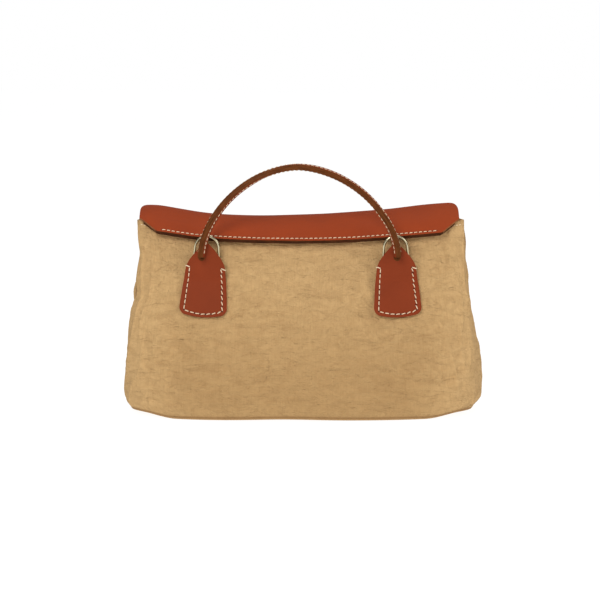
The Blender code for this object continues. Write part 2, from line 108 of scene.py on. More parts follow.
def closed_tube_faces(turns, sides):
    """Faces of a tube whose ends meet, each of its turns a ring of points."""
    faces = []
    for i in range(turns):
        j = (i + 1) % turns
        for k in range(sides):
            d = (k + 1) % sides
            faces.append((i * sides + k, j * sides + k, j * sides + d, i * sides + d))
    return faces


def grid_faces(rows, columns, closed=False):
    """Faces of a grid whose points run along its rows; closed joins each row's ends."""
    faces = []
    across = columns if closed else columns - 1
    for r in range(rows - 1):
        for c in range(across):
            d = (c + 1) % columns
            faces.append((r * columns + c, r * columns + d, (r + 1) * columns + d, (r + 1) * columns + c))
    return faces


def modify(obj, kind, **settings):
    modifier = obj.modifiers.new(kind.lower(), kind)
    for key, value in settings.items():
        setattr(modifier, key, value)
    return modifier


def apply_modifiers(obj):
    """Bakes an object's modifiers into its mesh."""
    graph = bpy.context.evaluated_depsgraph_get()
    finished = obj.evaluated_get(graph)
    mesh = bpy.data.meshes.new_from_object(finished, preserve_all_data_layers=True, depsgraph=graph)
    obj.modifiers.clear()
    obj.data = mesh


def cut_leather(obj, thickness, rounding, segments=2, **settings):
    """Thickens a leather face inward; its flesh side and rounded cut edge have their own material slots."""
    settings.update(thickness=thickness, offset=-1, material_offset=1, material_offset_rim=2)
    modify(obj, "SOLIDIFY", **settings)
    modify(obj, "BEVEL", width=rounding, segments=segments, limit_method="ANGLE", angle_limit=radians(50))
    apply_modifiers(obj)


def around(count):
    """Angles once round a circle."""
    return [2 * pi * k / count for k in range(count)]


def wear(obj, *materials):
    """Sets an object's material slots."""
    obj.data.materials.clear()
    for material in materials:
        obj.data.materials.append(material)


# ---------------------------------------------------------------- materials
def screen(red, green, blue):
    """Linear colour of 0-255 screen values."""
    values = []
    for c in (red / 255, green / 255, blue / 255):
        values.append(c / 12.92 if c <= 0.04045 else ((c + 0.055) / 1.055) ** 2.4)
    return (*values, 1.0)


class Look:
    """A Principled material with helpers for its node tree."""

    def __init__(self, name, roughness, **constants):
        self.material = bpy.data.materials.new(name)
        self.material.use_nodes = True
        self.nodes = self.material.node_tree.nodes
        self.links = self.material.node_tree.links
        self.shader = self.nodes["Principled BSDF"]
        self.shader.inputs["Roughness"].default_value = roughness
        for key, value in constants.items():
            self.shader.inputs[key.replace("_", " ")].default_value = value
        self.height = None

    def node(self, kind, **settings):
        made = self.nodes.new(kind)
        for key, value in settings.items():
            if key in made.inputs:
                made.inputs[key].default_value = value
            else:
                setattr(made, key, value)
        return made

    def link(self, source, target):
        self.links.new(source, target)

    def place(self, source="UV", scale=(1, 1, 1)):
        """Texture coordinates, scaled: a scale of 1 is one metre."""
        coordinates = self.node("ShaderNodeTexCoord")
        mapping = self.node("ShaderNodeMapping")
        mapping.inputs["Scale"].default_value = scale
        self.link(coordinates.outputs[source], mapping.inputs["Vector"])
        return mapping.outputs["Vector"]

    def noise(self, where, detail=3.0, roughness=0.55, distortion=0.0):
        made = self.node("ShaderNodeTexNoise", Scale=1.0, Detail=detail, Distortion=distortion)
        made.inputs["Roughness"].default_value = roughness
        self.link(where, made.inputs["Vector"])
        return made.outputs["Fac"]

    def remap(self, value, low=0.3, high=0.7, to_low=0.0, to_high=1.0):
        made = self.node("ShaderNodeMapRange")
        for key, number in (("From Min", low), ("From Max", high), ("To Min", to_low), ("To Max", to_high)):
            made.inputs[key].default_value = number
        self.link(value, made.inputs["Value"])
        return made.outputs["Result"]

    def mix(self, factor, first, second):
        made = self.node("ShaderNodeMix", data_type="RGBA")
        self.connect(factor, made.inputs[0])
        self.connect(first, made.inputs[6])
        self.connect(second, made.inputs[7])
        return made.outputs[2]

    def tint(self, base, value, low, high, amount, colour):
        """Base turned towards a colour, by up to amount, as value goes from low to high."""
        return self.mix(self.remap(value, low, high, 0.0, amount), base, colour)

    def cloud(self, density, detail=3.0, roughness=0.6, distortion=0.0):
        """Noise in the piece's own space, about density blotches a metre."""
        return self.noise(self.place("Object", (density,) * 3), detail, roughness, distortion)

    def maths(self, operation, first, second=0.0):
        made = self.node("ShaderNodeMath", operation=operation)
        self.connect(first, made.inputs[0])
        self.connect(second, made.inputs[1])
        return made.outputs[0]

    def contour(self, value, width):
        """1 along the middle contour of a noise, falling to 0 a little way off it."""
        off = self.maths("ABSOLUTE", self.maths("SUBTRACT", value, 0.5))
        return self.remap(off, 0.0, width, 1.0, 0.0)

    def connect(self, value, socket):
        if isinstance(value, bpy.types.NodeSocket):
            self.link(value, socket)
        else:
            socket.default_value = value

    def colour(self, output):
        self.link(output, self.shader.inputs["Base Color"])

    def rough(self, output):
        self.link(output, self.shader.inputs["Roughness"])

    def bump(self, height, distance, strength=1.0):
        made = self.node("ShaderNodeBump", Distance=distance, Strength=strength)
        self.link(height, made.inputs["Height"])
        if self.height:
            self.link(self.height, made.inputs["Normal"])
        self.height = made.outputs["Normal"]
        self.link(self.height, self.shader.inputs["Normal"])


def canvas_look():
    """Washed plain-weave cotton: upright slubs, a fine weave, blotches and thin broken creases, with painted
    shade along the creases, in the valleys, in the folds and along the base, and painted light near the end
    folds and the rim.
    """
    look = Look("canvas", 0.95, Specular_IOR_Level=0.1)
    tone = look.noise(look.place(scale=(22, 16, 1)), 4.0, 0.6)
    mottle = look.noise(look.place(scale=(135, 165, 1)), 4.0, 0.68, 0.5)
    slubs = look.noise(look.place(scale=(760, 70, 1)), 2.5, 0.6)
    weft = look.noise(look.place(scale=(70, 820, 1)), 2.5, 0.6)
    wrinkle = look.contour(look.noise(look.place(scale=(16, 50, 1)), 3.5, 0.55, 0.7), 0.018)
    broken = look.remap(look.noise(look.place(scale=(40, 60, 1)), 3.0, 0.6), 0.45, 0.58)
    crease = look.maths("MULTIPLY", wrinkle, broken)
    painted_shade = look.node("ShaderNodeAttribute", attribute_name="crease")
    painted_light = look.node("ShaderNodeAttribute", attribute_name="painted_light")
    base = look.mix(look.remap(tone), screen(184, 147, 99), screen(190, 153, 104))
    # Painted light: paler near the walls' end folds and towards the rim.
    base = look.mix(painted_light.outputs["Fac"], base, screen(219, 181, 128))
    base = look.tint(base, mottle, 0.36, 0.64, 0.32, screen(170, 133, 87))
    base = look.tint(base, slubs, 0.42, 0.68, 0.25, screen(166, 128, 82))
    base = look.tint(base, weft, 0.42, 0.68, 0.10, screen(206, 172, 126))
    # Painted shade along the thin broken crease lines, which the bump below also sinks.
    base = look.tint(base, crease, 0.0, 1.0, 0.18, screen(146, 108, 68))
    # Painted shade from the crease attribute: darker in the crease valleys and gusset folds, and a painted
    # contact shadow along the base.
    base = look.mix(painted_shade.outputs["Fac"], base, screen(116, 78, 46))
    look.colour(base)
    look.bump(look.remap(crease, 0.0, 1.0, 1.0, 0.0), 0.0009, 0.5)
    soft = look.contour(look.noise(look.place(scale=(48, 108, 1)), 4.0, 0.62, 0.5), 0.10)
    look.bump(soft, 0.0009, 0.65)
    look.bump(mottle, 0.0020, 0.9)
    look.bump(slubs, 0.0003, 0.4)
    look.bump(weft, 0.0003, 0.2)
    weave = look.node("ShaderNodeTexChecker", Scale=1.0)
    look.link(look.place(scale=(1500, 1500, 1)), weave.inputs["Vector"])
    look.bump(weave.outputs["Fac"], 0.00012, 0.4)
    return look.material


def leather_look(name, dark, light, edge):
    """Smooth vegetable-tanned leather: fine pores, cloudy tone, redder and paler close to cut edges."""
    look = Look(name, 0.55, Specular_IOR_Level=0.06)
    cloud = look.cloud(28, 5.0, distortion=0.4)
    speck = look.cloud(900, 2.0)
    base = look.mix(look.remap(cloud, 0.32, 0.68), dark, light)
    base = look.tint(base, speck, 0.35, 0.75, 0.28, dark)
    rim = look.node("ShaderNodeAttribute", attribute_name="rim")
    base = look.mix(rim.outputs["Fac"], base, edge)
    look.colour(base)
    look.rough(look.remap(cloud, 0.3, 0.7, 0.48, 0.6))
    pores = look.node("ShaderNodeTexVoronoi", Scale=1.0, feature="DISTANCE_TO_EDGE")
    look.link(look.place("Object", (1300, 1300, 1300)), pores.inputs["Vector"])
    look.bump(look.remap(pores.outputs["Distance"], 0.0, 0.35), 0.00006, 0.55)
    look.bump(cloud, 0.0012, 0.18)
    return look.material


def edge_look(name, dark, light, source="UV", stretch=(60, 1400, 1)):
    """Burnished cut edge: waxy brown with streaks along it."""
    look = Look(name, 0.45, Specular_IOR_Level=0.06)
    streaks = look.noise(look.place(source, stretch), 3.0, 0.6)
    patches = look.cloud(120, 4.0)
    base = look.mix(look.remap(streaks), dark, light)
    base = look.tint(base, patches, 0.45, 0.75, 0.6, dark)
    look.colour(base)
    look.rough(look.remap(patches, 0.3, 0.7, 0.34, 0.55))
    look.bump(streaks, 0.0003, 0.5)
    return look.material


def metal_look(name, colour, roughness):
    look = Look(name, roughness, Metallic=1.0)
    haze = look.cloud(260, 4.0)
    look.colour(look.tint(colour, haze, 0.35, 0.7, 0.35, tuple(c * 0.82 for c in colour)))
    look.rough(look.remap(haze, 0.3, 0.7, roughness * 0.8, roughness * 1.5))
    look.bump(haze, 0.0002, 0.05)
    return look.material


def thread_look():
    """Waxed cream thread with its twist."""
    look = Look("thread", 0.62, Sheen_Weight=0.15, Specular_IOR_Level=0.35)
    plies = look.node("ShaderNodeTexWave", Scale=1.0, Distortion=0.6, bands_direction="DIAGONAL")
    look.link(look.place(scale=(260, 260, 1)), plies.inputs["Vector"])
    soil = look.noise(look.place("Object", (90, 90, 90)), 3.0, 0.6)
    base = look.mix(look.remap(soil, 0.3, 0.75, 0.0, 0.7), screen(240, 222, 190), screen(222, 192, 150))
    look.colour(look.mix(look.remap(plies.outputs["Fac"], 0.0, 1.0, 0.0, 0.25), base, screen(190, 150, 108)))
    look.bump(plies.outputs["Fac"], 0.0002, 0.6)
    return look.material


def plain_look(name, dark, light, roughness, grain):
    look = Look(name, roughness)
    tone = look.noise(look.place("Object", (grain, grain, grain)), 4.0, 0.65)
    look.colour(look.mix(look.remap(tone), dark, light))
    look.bump(tone, 0.0004, 0.4)
    return look.material


CANVAS = canvas_look()
LEATHER = leather_look("leather", screen(127, 53, 27), screen(135, 57, 30), screen(154, 72, 42))
FLAP_LEATHER = leather_look("flap_leather", screen(145, 58, 25), screen(152, 62, 28), screen(172, 78, 41))
EDGE = edge_look("edge_leather", screen(70, 34, 10), screen(116, 64, 28))
# A darker copy of the burnished edge: painted shade for the flap's downward-facing front edge and its strip's
# edge.
EDGE_PAINTED_SHADE = edge_look("edge_leather_painted_shade", screen(48, 24, 10), screen(84, 46, 22))
EDGE_PALE = edge_look("edge_leather_pale", screen(112, 66, 36), screen(158, 100, 60), "Object", (300,) * 3)
SUEDE = plain_look("flesh_side", screen(128, 74, 46), screen(156, 98, 62), 0.9, 700)
RING_METAL = metal_look("ring_metal", screen(198, 187, 154), 0.08)
STEEL = metal_look("magnet_steel", screen(176, 176, 172), 0.35)
BOARD = plain_look("board", screen(58, 48, 40), screen(84, 70, 58), 0.85, 400)
THREAD = thread_look()
# Near-black discs of painted shadow where the needle holes and keyholes show only shade.
PAINTED_HOLE_SHADE = plain_look("painted_hole_shade", screen(40, 16, 9), screen(60, 26, 14), 0.9, 500)


# ---------------------------------------------------------------- the canvas body
RIM_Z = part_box("front_panel")[1][2]
BASE_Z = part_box("base_panel")[1][2] + 0.6 * MM
HALF_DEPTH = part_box("front_panel")[0][1] * -1
MOUTH_HALF = 20 * MM
RIM_SAG = 15 * MM
RIM_HALF_WIDTH = 174 * MM
SPREAD_POWER = 1.12
SEAM_BASE = 30 * MM
SEAM_TOP = 17.5 * MM
CLOTH = 1.5 * MM
# Half widths of the walls at their four end folds: share of the height, distance from the middle
END_FOLDS = {
    "front_left": (
        (0, 180.5), (0.03, 183.4), (0.07, 184.2), (0.2, 183.6), (0.34, 182.4), (0.44, 180.7), (0.51, 178.4),
        (0.57, 174.9), (0.60, 171.9), (0.66, 171.2), (0.74, 170.4), (0.80, 168.6), (0.87, 170.2), (1, 171.9),
    ),
    "front_right": (
        (0, 182), (0.03, 185), (0.07, 185.6), (0.2, 185.2), (0.38, 181.5), (0.55, 178.3), (0.655, 174.9),
        (0.77, 173.2), (0.865, 171.8), (1, 171.2),
    ),
    "back_left": (
        (0, 176), (0.03, 181), (0.07, 183), (0.2, 183.5), (0.4, 181), (0.6, 177), (0.72, 174.6),
        (0.80, 172.2), (0.88, 172), (1, 171),
    ),
    "back_right": (
        (0, 181), (0.03, 184), (0.07, 185), (0.2, 185.5), (0.4, 184), (0.55, 182.4), (0.655, 180.6),
        (0.725, 178), (0.77, 176.7), (0.865, 177.6), (0.95, 174.6), (1, 170.8),
    ),
}
# How far the gussets stand out between their folds
GUSSETS = {
    "left": (
        (0, 5), (0.2, 3.5), (0.4, 0), (0.54, -1.5), (0.60, 2.4), (0.64, 2.0), (0.69, -3), (0.76, -9),
        (0.84, -17), (1, -24),
    ),
    "right": ((0, 7), (0.2, 7.5), (0.4, 4), (0.55, -1), (0.68, -8), (0.84, -17), (1, -24)),
}
# The back wall's corners hang a little lower than the front's
BACK_DROP = 2.8 * MM
# Strength of the painted shade in the gusset folds, the crease valleys and along the base (a painted contact
# shadow), and of the painted light near the walls' end folds and the rim, from 0 to 1
GUSSET_SHADE = 0.22
SLIT_SHADE = 1.0
VALLEY_SHADE = 0.09
BASE_SEAM_SHADE = 0.6
FOLD_PAINTED_LIGHT = 0.66
RIM_PAINTED_LIGHT = 0.6
# Heights of the crease layers in mm, and the seeds of the two sides' creases
SWELL = 1.7
FLAT_FOLDS = 2.2
CROSS_FOLDS = 1.6
UPRIGHT_FOLDS = 0.45
UPRIGHT_AT_ENDS = 1.5
FINE_FOLDS = 0.65
FRONT_SEED, BACK_SEED = 4.0, 31.0
# The cloth lies flat behind the paddles
PADDLE_PLACE = 104 * MM
PADDLE_SPREAD = 26 * MM
WALL_COLUMNS = 231
GUSSET_COLUMNS = 39
# Below 1, the columns of points crowd towards the walls' folds a little less
COLUMN_POWER = 0.62
# Rings of the base from its middle out: share of the rim's plan, height in mm
BASE_STEPS = ((0.02, 0.5), (0.3, 0.5), (0.6, 0.5), (0.85, 0.5), (0.955, 0.5), (0.98, 0.62), (0.993, 1.3))
# Outline of the base's board from its upper middle round its edge: share of the rim's plan, height in mm
BOARD_STEPS = [(share, 4.2) for share in (0.02, 0.5, 0.9, 0.93)]
BOARD_STEPS += [(share, 2.3) for share in (0.93, 0.9, 0.5, 0.02)]


def rim_z(x):
    return RIM_Z - 0.8 * MM - RIM_SAG * (1 - (x / RIM_HALF_WIDTH) ** 2)


def fold_x(corner, v):
    return smooth_value(END_FOLDS[corner], v) * MM


def seam_y(v):
    return lerp(SEAM_BASE, SEAM_TOP, v)


def lifted(x, height_share, top):
    """Height of a wall point: the base's ends lift a little, and so does the middle of its long edges."""
    ends = 5.0 * MM * smoothstep(132 * MM, 172 * MM, abs(x))
    middle = 1.3 * MM * bump_at(x, -18 * MM, 45 * MM)
    z = BASE_Z + (top - BASE_Z) * height_share
    return z + (ends + middle) * (1 - height_share) ** 4


def wall_point(u, v, side="front"):
    """Outer face of a wall at rest, smooth: u from -1 to 1 across as seen from the front, v up to the rim."""
    half = lerp(fold_x(side + "_left", v), fold_x(side + "_right", v), (u + 1) / 2)
    power = lerp(2.7, 5.0, v)
    bow = max(1 - abs(u) ** power, 0.0) ** (1 / power)
    depth = MOUTH_HALF + (HALF_DEPTH - MOUTH_HALF) * (1 - max(v, 0.0) ** SPREAD_POWER)
    x = half * u
    y = seam_y(v) + (depth - seam_y(v)) * bow
    top = rim_z(x) - (BACK_DROP * abs(u) ** 4 if side == "back" else 0)
    return Vector((x, -y if side == "front" else y, lifted(x, v, top)))


def gusset_point(hand, u, v):
    """Outer face of a gusset: u from -1 at the front fold to 1 at the back fold."""
    front = fold_x("front_" + hand, v)
    back = fold_x("back_" + hand, v)
    out = smooth_value(GUSSETS[hand], v) * MM
    x = lerp(front, back, (u + 1) / 2) + out * (1 - u * u)
    groove = 2.6 * MM * smoothstep(0.3, 0.52, v) * smoothstep(0.9, 0.6, v)
    x -= groove * bump_at(abs(u), 0.78, 0.16)
    sign = -1 if hand == "left" else 1
    top = RIM_Z - 3 * MM * (1 - abs(u) ** 3) - BACK_DROP * smoothstep(-0.4, 1, u)
    return Vector((sign * x, u * seam_y(v), lifted(x, v, top)))


def ridge(x, y, z):
    """Sharp creases: positive on the crease, a little below 0 between."""
    return max(1 - 2.2 * abs(noise.noise(Vector((x, y, z)))), 0.0) ** 2 - 0.33


def crumple(a, z, seed, calm):
    """Soft washed-canvas creases in metres of height, over the distance round the bag and the height."""
    height = z / RIM_Z
    end = smoothstep(95 * MM, 172 * MM, abs(a))
    low = smoothstep(0.95, 0.25, height)
    swell = noise.noise(Vector((a / 0.085, z / 0.070, seed))) * SWELL
    flat = ridge(a / 0.050, z / 0.016, seed + 3) * FLAT_FOLDS * lerp(0.4, 1.0, low)
    cross = ridge(a / 0.030 + z / 0.05, z / 0.034, seed + 9) * CROSS_FOLDS
    upright = ridge(a / 0.014, z / 0.075, seed + 5) * (UPRIGHT_FOLDS + UPRIGHT_AT_ENDS * end)
    fine = ridge(a / 0.012, z / 0.009, seed + 7) * FINE_FOLDS
    return (swell + upright + (flat + cross + fine) * calm) * MM


def fold_shade(hand, u, v):
    """Shade that gathers where a gusset tucks in behind the walls' end folds."""
    if hand == "left":
        return SLIT_SHADE * bump_at(u, -0.72, 0.3) * smoothstep(0.57, 0.60, v) * smoothstep(0.71, 0.67, v)
    return GUSSET_SHADE * smoothstep(0.55, 0.68, v) * smoothstep(1.0, 0.8, u)


def canvas_columns():
    """Columns of points round the bag, from the front's left fold on: the part and the place across it."""
    walls = [sin(a) for a in even(-pi / 2, pi / 2, WALL_COLUMNS)]
    walls = [abs(s) ** COLUMN_POWER * (1 if s >= 0 else -1) for s in walls]
    gussets = even(-1, 1, GUSSET_COLUMNS + 2)[1:-1]
    columns = [("front", u) for u in walls] + [("right", u) for u in gussets]
    return columns + [("back", -u) for u in walls] + [("left", -u) for u in gussets]


def canvas_ring(columns, v):
    """Points round the bag at a share of its height."""
    points = []
    for part, u in columns:
        points.append(wall_point(u, v, part) if part in ("front", "back") else gusset_point(part, u, v))
    return points


def base_ring(rim, share, height):
    """The base's rim drawn in to a share of its plan; only near the rim does the base rise with it."""
    rise = smoothstep(0.75, 1.0, share)
    return [Vector((p.x * share, p.y * share, height * MM + (p.z - BASE_Z) * rise)) for p in rim]


def crease(vertex, column, v, a, loop_length):
    """A smooth point of the skin moved into its creases: its new place, its painted shade and its painted
    light.
    """
    part, u = column
    on_wall = part in ("front", "back")
    at_back = loop_length / 4 < a < loop_length * 3 / 4
    a -= loop_length / 2 if at_back else 0
    a -= loop_length if a > loop_length / 2 else 0
    x, z = vertex.co.x, vertex.co.z
    share = z / RIM_Z
    fade = smoothstep(0.0, 0.10, share) * lerp(1.0, 0.35, smoothstep(0.86, 0.98, share))
    join = smoothstep(0.0, 10 * MM, abs(abs(a) - loop_length / 4))
    calm = lerp(1.0, 0.12, smoothstep(0.88, 0.97, abs(u))) if on_wall else lerp(0.12, 0.6, 1 - abs(u))
    moved = crumple(a, z, BACK_SEED if at_back else FRONT_SEED, calm) * fade * lerp(0.25, 1.0, join)
    under = bump_at(abs(x), PADDLE_PLACE, PADDLE_SPREAD) * smoothstep(96 * MM, 110 * MM, z)
    moved = lerp(moved, min(moved, 0.1 * MM), min(under * 1.5, 1.0))

    # Painted contact shadow along the bottom of the walls, and painted shade in the crease valleys and the
    # gusset folds.
    seam = BASE_SEAM_SHADE * smoothstep(0.012, 0.0, v)
    shade = max(VALLEY_SHADE * smoothstep(-0.1 * MM, -1.3 * MM, moved), seam)
    if not on_wall:
        shade = min(shade + fold_shade(part, u, v), 1.0)
    near_fold = smoothstep(0.55, 0.95, abs(u)) if on_wall else 1.0
    # Painted light near the end folds and towards the rim, kept off the painted contact shadow along the
    # base.
    painted_light = max(near_fold * FOLD_PAINTED_LIGHT, RIM_PAINTED_LIGHT * smoothstep(0.1, 0.85, v)) * (1 - seam)
    return vertex.co + vertex.normal * moved, shade, painted_light


def make_canvas():
    """The outer canvas as one creased skin, cut at its seams into walls, gussets and base."""
    heights = [0.0, 0.01] + even(0.02, 1.0, 124)
    columns = canvas_columns()
    rim = canvas_ring(columns, 0.0)
    rings = [base_ring(rim, share, height) for share, height in BASE_STEPS]
    rings += [canvas_ring(columns, v) for v in heights]
    count = len(columns)
    points = [p for loop in rings for p in loop] + [Vector((0, 0, BASE_STEPS[0][1] * MM))]
    faces = grid_faces(len(rings), count, closed=True)
    faces += [(c, len(points) - 1, (c + 1) % count) for c in range(count)]
    skin = add_mesh("skin", points, faces)

    girth = [0.0]
    middle = canvas_ring(columns, 0.4)
    for here, there in zip(middle, middle[1:]):
        girth.append(girth[-1] + (there - here).length)
    loop_length = girth[-1] + (middle[0] - middle[-1]).length
    girth = [a - girth[WALL_COLUMNS // 2] for a in girth]

    shades = [0.0] * len(points)
    painted_lights = [0.0] * len(points)
    outside = len(BASE_STEPS) * count
    for vertex in list(skin.data.vertices)[outside:-1]:
        i = vertex.index
        r, c = divmod(i, count)
        v = heights[r - len(BASE_STEPS)]
        points[i], shades[i], painted_lights[i] = crease(vertex, columns[c], v, girth[c], loop_length)
    bpy.data.objects.remove(skin)

    tones = {"crease": shades, "painted_light": painted_lights}
    upright_uvs = [(girth[i % count], p.z) for i, p in enumerate(points)]
    start = 0
    for node in ("front_panel", "right_gusset", "back_panel", "left_gusset"):
        end = start + (WALL_COLUMNS - 1 if "panel" in node else GUSSET_COLUMNS + 1)
        chosen = [faces[i] for i in range(outside, len(faces) - count) if start <= i % count < end]
        make_panel(node, chosen, points, upright_uvs, tones)
        start = end
    flat_uvs = [(p.x, p.y) for p in points]
    make_panel("base_panel", faces[:outside] + faces[-count:], points, flat_uvs, tones)
    make_board(rim)


def make_panel(node, faces, points, uvs, tones):
    """One canvas panel cut out of the skin and thickened inward."""
    used = sorted({i for face in faces for i in face})
    place = {old: new for new, old in enumerate(used)}
    faces = [tuple(place[i] for i in face) for face in faces]
    panel = add_mesh(node + "_canvas", [points[i] for i in used], faces, [uvs[i] for i in used])
    for tone, values in tones.items():
        attribute = panel.data.attributes.new(tone, "FLOAT", "POINT")
        attribute.data.foreach_set("value", [values[i] for i in used])
    wear(panel, CANVAS)
    modify(panel, "SOLIDIFY", thickness=CLOTH, offset=-1)
    apply_modifiers(panel)
    panel.data.set_sharp_from_angle(angle=radians(60))
    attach(panel, "bag")
    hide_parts(node)


def make_board(rim):
    """Stiff board that lies on the canvas base and bends up with its ends."""
    rings = [base_ring(rim, share, height) for share, height in BOARD_STEPS]
    points = [p for loop in rings for p in loop]
    count = len(rim)
    faces = [tuple(reversed(f)) for f in grid_faces(len(rings), count, closed=True)]
    faces += [tuple(range(count)), tuple(reversed(range(len(points) - count, len(points))))]
    board = add_mesh("base_stiffener", points, faces, smooth=False)
    wear(board, BOARD)
    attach(board, "bag")
    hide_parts("base_board")


def rim_line(side, depth, out, count, reach):
    """Points along a wall below its rim, with the wall's outward direction at each."""
    line = []
    for u in even(-reach, reach, count):
        upper = wall_point(u, 1.0, side)
        v = 1 - depth / (upper.z - BASE_Z)
        here = wall_point(u, v, side)
        across = wall_point(min(u + 0.01, 1), v, side) - wall_point(max(u - 0.01, -1), v, side)
        along_wall = upper - here
        normal = across.cross(along_wall).normalized()
        if side == "back":
            normal = -normal
        line.append((here + normal * out, normal))
    return line


RIM_STITCH = {"pitch": 3.4 * MM, "length": 2.6 * MM, "radius": 0.32 * MM}
HEM_DEPTHS = (15 * MM, 10 * MM, 5 * MM, 1.2 * MM, 0.6 * MM)


def make_hems():
    """Turned canvas bands inside the mouth, with their stitching through the walls."""
    for side in ("front", "back"):
        rows = [rim_line(side, depth, -1.75 * MM, 121, 0.93) for depth in HEM_DEPTHS]
        points = [p for row in rows for p, _ in row]
        uvs = [(p.x, p.z) for p in points]
        hem = add_mesh(side + "_hem_band", points, grid_faces(len(rows), 121), uvs)
        if side == "back":
            hem.data.flip_normals()
        wear(hem, CANVAS)
        modify(hem, "SOLIDIFY", thickness=1.8 * MM, offset=-1)
        apply_modifiers(hem)
        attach(hem, "bag")
        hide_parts(side + "_hem")
        outer = rim_line(side, 4.2 * MM, 0.05 * MM, 300, 0.985)
        make_stitches(side + "_rim_stitching", [outer], "bag", **RIM_STITCH)
        inner = [(p, -n) for p, n in rim_line(side, 12 * MM, -3.6 * MM, 300, 0.92)]
        make_stitches(side + "_hem_stitching", [inner], "bag", **RIM_STITCH)


# ---------------------------------------------------------------- stitches
def walk(line, pitch):
    """Places at equal steps along a line of (point, normal): point, direction and normal."""
    lengths = [0.0]
    for (a, _), (b, _) in zip(line, line[1:]):
        lengths.append(lengths[-1] + (b - a).length)
    total = lengths[-1]
    count = max(int(total / pitch), 1)
    step = total / count
    places = []
    i = 0
    for k in range(count):
        target = (k + 0.5) * step
        while lengths[i + 1] < target:
            i += 1
        share = (target - lengths[i]) / (lengths[i + 1] - lengths[i])
        point = line[i][0].lerp(line[i + 1][0], share)
        normal = line[i][1].lerp(line[i + 1][1], share).normalized()
        along = (line[i + 1][0] - line[i][0]).normalized()
        places.append((point, along, normal))
    return places


# Profile of a stitch over the surface: share of its length, height in thread radii
STITCH_ARC = ((-0.5, -1.2), (-0.46, -0.2), (-0.36, 0.45), (-0.15, 0.85))
STITCH_ARC += tuple((-share, height) for share, height in reversed(STITCH_ARC))
STITCH_SIDES = 8


def stitch_shape(point, along, normal, length, radius, slant, points, faces, uvs):
    """One stitch: a short thread that arches over the surface and dives in at both ends."""
    side = normal.cross(along).normalized()
    normal = along.cross(side).normalized()
    along = (along + side * slant).normalized()
    first = len(points)
    sides = STITCH_SIDES
    for share, height in STITCH_ARC:
        centre = point + along * (share * length) + normal * (height * radius)
        slim = lerp(0.72, 1.0, smoothstep(0.5, 0.3, abs(share)))
        for angle in around(sides):
            points.append(centre + (side * cos(angle) * 1.12 + normal * sin(angle) * 0.9) * radius * slim)
            uvs.append((share * length, angle * radius))
    for r in range(len(STITCH_ARC) - 1):
        for k in range(sides):
            d = (k + 1) % sides
            a = first + r * sides
            faces.append((a + k, a + sides + k, a + sides + d, a + d))
    faces.append(tuple(first + k for k in range(sides)))
    faces.append(tuple(first + (len(STITCH_ARC) - 1) * sides + k for k in reversed(range(sides))))


def add_plug(outer, inner, points, faces):
    """A closed short plug between two rings of points."""
    first, count = len(points), len(outer)
    points += outer + inner
    faces.append(tuple(first + k for k in range(count)))
    faces.append(tuple(first + count + k for k in reversed(range(count))))
    for k in range(count):
        d = (k + 1) % count
        faces.append((first + k, first + count + k, first + count + d, first + d))


def make_stitches(name, lines, body, pitch, length, radius, holes=0.0, slants=(0.1, 0.1)):
    """Rows of stitches as one piece, with dark discs of painted shadow at the needle holes between them where
    they show.
    """
    points, faces, uvs = [], [], []
    hole_points, hole_faces = [], []
    for line in lines:
        places = walk(line, pitch)
        for k, (point, along, normal) in enumerate(places):
            slant = lerp(*slants, smoothstep(0.35, 0.65, k / len(places)))
            stitch_shape(point, along, normal, length, radius, slant, points, faces, uvs)
            if holes:
                side = normal.cross(along).normalized()
                for end in (-0.5, 0.5):
                    centre = point + along * (end * pitch * 0.97) + side * (end * slant * length)
                    outline = [centre + (along * cos(a) * 1.4 + side * sin(a)) * holes for a in around(8)]
                    rings = [[p + normal * lift for p in outline] for lift in (0.05 * MM, -0.3 * MM)]
                    add_plug(*rings, hole_points, hole_faces)
    stitches = add_mesh(name, points, faces, uvs)
    wear(stitches, THREAD)
    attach(stitches, body)
    if holes:
        # Painted shadow discs at the needle holes.
        dark = add_mesh(name + "_holes", hole_points, hole_faces)
        wear(dark, PAINTED_HOLE_SHADE)
        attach(dark, body)


# ---------------------------------------------------------------- the flap
LEATHER_THICK = 2.6 * MM
# Section through the back leaf, over the hinge and the crest, to the front edge: y, z in mm at mid width
SECTION = (
    (29.4, 180.7), (27.6, 187.2), (26.4, 193.2), (26.1, 198.2), (25.6, 201.8), (22.0, 204.6),
    (14.0, 205.4), (2.0, 204.4), (-10.0, 201.2), (-22.0, 195.2), (-35.9, 184.0),
)
HINGE_AT = 0.3
CREST_AT = 0.6
# Heights above the middle in mm along the crest and the front edge: the saddle is deepest left of centre
CREST_LINE = ((-176, 11.2), (-164, 10.8), (-150, 10.1), (-128, 6.5), (-102, 2.2), (-77, -0.2), (-38, -1.1))
CREST_LINE += ((0, 0), (45, 2.4), (89, 5.8), (128, 10.5), (154, 12.7), (176, 13.6))
FRONT_LINE = ((-176, 13), (-153, 10.6), (-109, 4.2), (-55, 0.9), (0, 0), (50, 1.1), (89, 3.7), (149, 8.7))
FRONT_LINE += ((176, 11),)
FLAP_LEFT = -169.6 * MM
FLAP_RIGHT = 166.0 * MM
FRONT_LEFT = -150.4 * MM
FRONT_RIGHT = 146.6 * MM
BACK_HALF = 150 * MM
CORNER_RUN = 24 * MM
CORNER_INSET = 9 * MM
CREST_TO_FRONT = 45 * MM
CHAMFER_AT = 0.905
STITCH_AT = 0.984
LEAF_SEAMS = (0.035, 0.235)
FLAP_STITCH = {"pitch": 4.95 * MM, "length": 3.6 * MM, "radius": 0.42 * MM, "holes": 0.4 * MM}
# The edge strip's thickness, and the share of it that is left towards the front, row by row
STRIP_THICK = 4.2 * MM
STRIP_SKIVE = (1.0, 1.0, 1.0, 1.0, 0.9, 0.75, 0.6)


